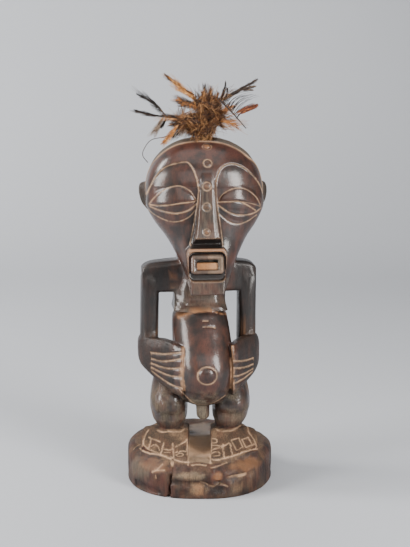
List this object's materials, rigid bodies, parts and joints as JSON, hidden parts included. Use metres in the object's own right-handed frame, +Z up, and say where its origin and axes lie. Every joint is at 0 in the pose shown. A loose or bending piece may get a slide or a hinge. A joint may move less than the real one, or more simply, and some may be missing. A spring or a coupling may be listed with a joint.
{
  "type": "ancestor figure",
  "caption": "Carved dark wooden figure standing with its hands on its belly on a round base cut from the same block, with a tuft of feathers in the crown.",
  "frame": {"origin": "centre of the underside of the round base", "axes": "+Z up; -Y is the way the feet and the base face; +X is on the right of someone who looks at the front. The figure above the legs is turned about 6 degrees towards +X"},
  "size_m": [0.146, 0.146, 0.405],
  "materials": {
    "wood": "dark oiled hardwood, glossy on the face and arms, dusty on the feet and base",
    "down": "matted brown down, matte",
    "feather_brown": "matte",
    "feather_dark": "matte",
    "feather_rust": "matte",
    "quill": "matte horn",
    "hair": "matte"
  },
  "bodies": {
    "root": {"carved_figure": "wood", "feather_bundle": "down", "feather_black_left": "feather_dark", "feather_tan_top_left": "feather_brown", "feather_brown_top_left": "feather_brown", "feather_dark_top": "feather_dark", "feather_dark_top_right": "feather_dark", "feather_grey_right": "feather_dark", "feather_barbed_right": "feather_dark", "feather_rust_right": "feather_rust", "quill_right": "quill", "feather_tan_low_left": "feather_brown", "feather_barred_low_left": "feather_dark", "feather_tan_low_right": "feather_brown", "feather_brown_back": "feather_brown", "feather_brown_back_right": "feather_brown", "loose_hair_left": "hair"}
  },
  "joints": []
}
